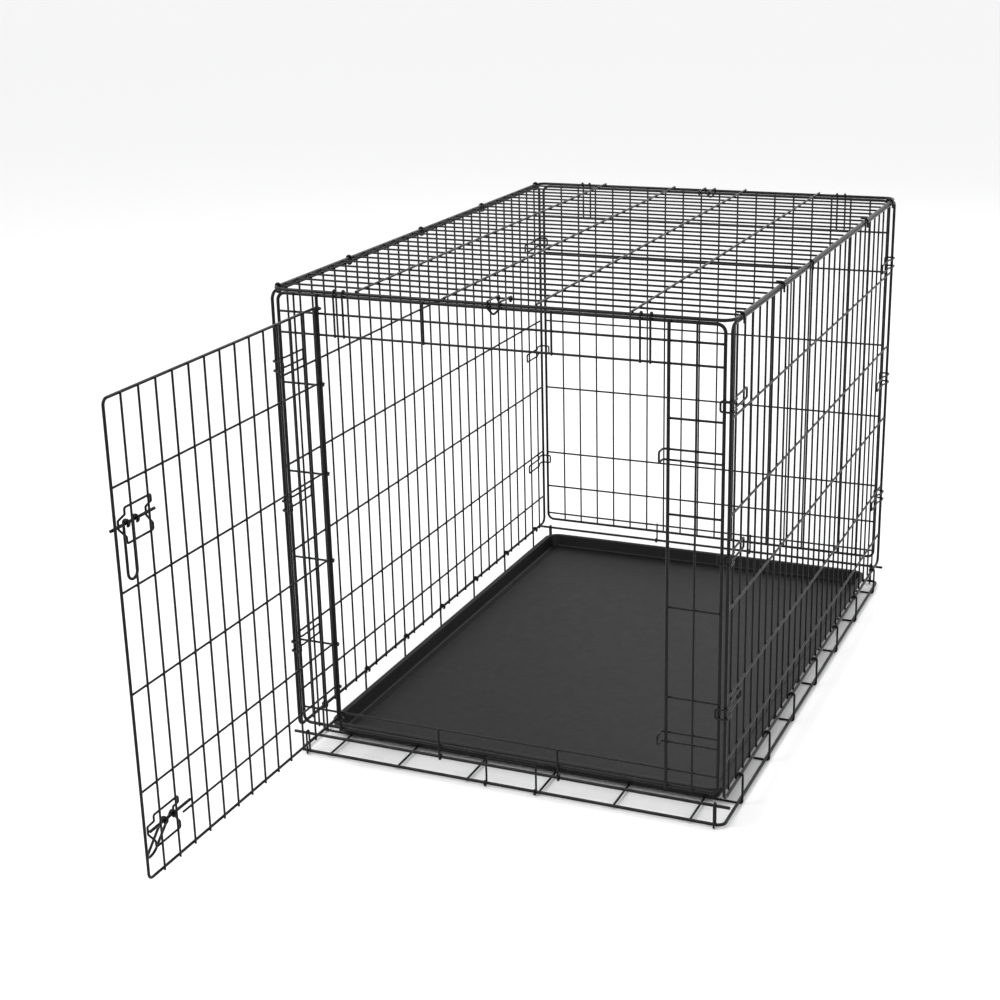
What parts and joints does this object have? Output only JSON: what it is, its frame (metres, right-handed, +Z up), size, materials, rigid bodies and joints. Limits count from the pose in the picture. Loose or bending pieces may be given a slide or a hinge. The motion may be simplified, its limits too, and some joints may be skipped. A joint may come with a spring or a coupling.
{
  "type": "wire dog crate",
  "caption": "Folding wire crate for a large dog, with a hinged front door, two slide-bolt latches, a lift-off roof panel, folding end panels and a plastic floor pan.",
  "frame": {"origin": "on the ground under the middle of the crate's floor frame", "axes": "+X to the right across the front, +Y from the front with the door to the rear, +Z up"},
  "size_m": [0.7264, 1.5903, 0.7679],
  "materials": {
    "coated_wire": "satin black electro-coat",
    "black_plastic": "matte, finely textured"
  },
  "bodies": {
    "crate_base": {"floor_frame": "coated_wire", "floor_cross_wires": "coated_wire", "floor_long_wires": "coated_wire", "side_posts": "coated_wire", "corner_links": "coated_wire", "front_hinge_rail": "coated_wire", "rear_hinge_rail": "coated_wire", "left_side_frame": "coated_wire", "left_side_uprights": "coated_wire", "left_side_crossbars": "coated_wire", "left_side_clips": "coated_wire", "right_side_frame": "coated_wire", "right_side_uprights": "coated_wire", "right_side_crossbars": "coated_wire", "right_side_clips": "coated_wire"},
    "front_panel": {"front_frame": "coated_wire", "front_crossbars": "coated_wire", "front_uprights": "coated_wire", "front_hinge_loops": "coated_wire", "front_prong_legs": "coated_wire", "door_hinge_post": "coated_wire", "upper_bolt_receiver": "coated_wire", "lower_bolt_receiver": "coated_wire"},
    "rear_panel": {"rear_frame": "coated_wire", "rear_crossbars": "coated_wire", "rear_uprights": "coated_wire", "rear_hinge_loops": "coated_wire", "rear_prong_legs": "coated_wire"},
    "roof_panel": {"roof_frame": "coated_wire", "roof_cross_wires": "coated_wire", "roof_long_wires": "coated_wire", "roof_hinge_rings": "coated_wire", "roof_side_hooks": "coated_wire", "roof_front_hooks": "coated_wire", "roof_rear_hooks": "coated_wire"},
    "front_clip": {"front_lock_clip": "coated_wire"},
    "rear_clip": {"rear_lock_clip": "coated_wire"},
    "door": {"door_frame": "coated_wire", "door_uprights": "coated_wire", "door_crossbars": "coated_wire", "door_hinge_curls": "coated_wire", "upper_bolt_keeper": "coated_wire", "lower_bolt_keeper": "coated_wire"},
    "upper_bolt": {"upper_bolt": "coated_wire"},
    "lower_bolt": {"lower_bolt": "coated_wire"},
    "upper_handle": {"upper_bolt_handle": "coated_wire"},
    "lower_handle": {"lower_bolt_handle": "coated_wire"},
    "pan": {"pan": "black_plastic"},
    "pan_stop": {"pan_stop": "coated_wire"}
  },
  "joints": [
    {"name": "roof_swing", "type": "hinge", "parent": "crate_base", "child": "roof_panel", "pos_m": [-0.3535, 0, 0.7567], "axis": [0, -1, 0], "range_deg": [0, 170]},
    {"name": "front_panel_fold", "type": "hinge", "parent": "crate_base", "child": "front_panel", "pos_m": [0, -0.524, 0.037], "axis": [-1, 0, 0], "range_deg": [0, 85.5]},
    {"name": "rear_panel_fold", "type": "hinge", "parent": "crate_base", "child": "rear_panel", "pos_m": [0, 0.524, 0.037], "axis": [1, 0, 0], "range_deg": [0, 90]},
    {"name": "door_swing", "type": "hinge", "parent": "front_panel", "child": "door", "pos_m": [-0.276, -0.52895, 0.4065], "axis": [0, 0, 1], "range_deg": [-60, 90]},
    {"name": "upper_bolt_slide", "type": "slide", "parent": "door", "child": "upper_bolt", "axis": [0, -1, 0], "range_m": [-0.022, 0.0075]},
    {"name": "lower_bolt_slide", "type": "slide", "parent": "door", "child": "lower_bolt", "axis": [0, -1, 0], "range_m": [0, 0.0295]},
    {"name": "upper_handle_turn", "type": "hinge", "parent": "upper_bolt", "child": "upper_handle", "pos_m": [-0.28535, -1.0152, 0.568], "axis": [0, 1, 0], "range_deg": [0, 90]},
    {"name": "lower_handle_turn", "type": "hinge", "parent": "lower_bolt", "child": "lower_handle", "pos_m": [-0.28535, -0.9932, 0.1365], "axis": [0, 1, 0], "range_deg": [-25, 65]},
    {"name": "front_clip_lift", "type": "hinge", "parent": "roof_panel", "child": "front_clip", "pos_m": [0.007, -0.48786, 0.7629], "axis": [-1, 0, 0], "range_deg": [0, 80]},
    {"name": "rear_clip_lift", "type": "hinge", "parent": "roof_panel", "child": "rear_clip", "pos_m": [0, 0.48786, 0.7629], "axis": [1, 0, 0], "range_deg": [0, 80]},
    {"name": "pan_pull", "type": "slide", "parent": "crate_base", "child": "pan", "axis": [0, -1, 0], "range_m": [0, 0.045]},
    {"name": "pan_stop_flip", "type": "hinge", "parent": "crate_base", "child": "pan_stop", "pos_m": [0.0135, -0.524, 0.00595], "axis": [-1, 0, 0], "range_deg": [0, 90]}
  ],
  "couplings": [
    {"joint": "front_panel_fold", "follows": "roof_swing", "ratio": 0.50294}
  ]
}
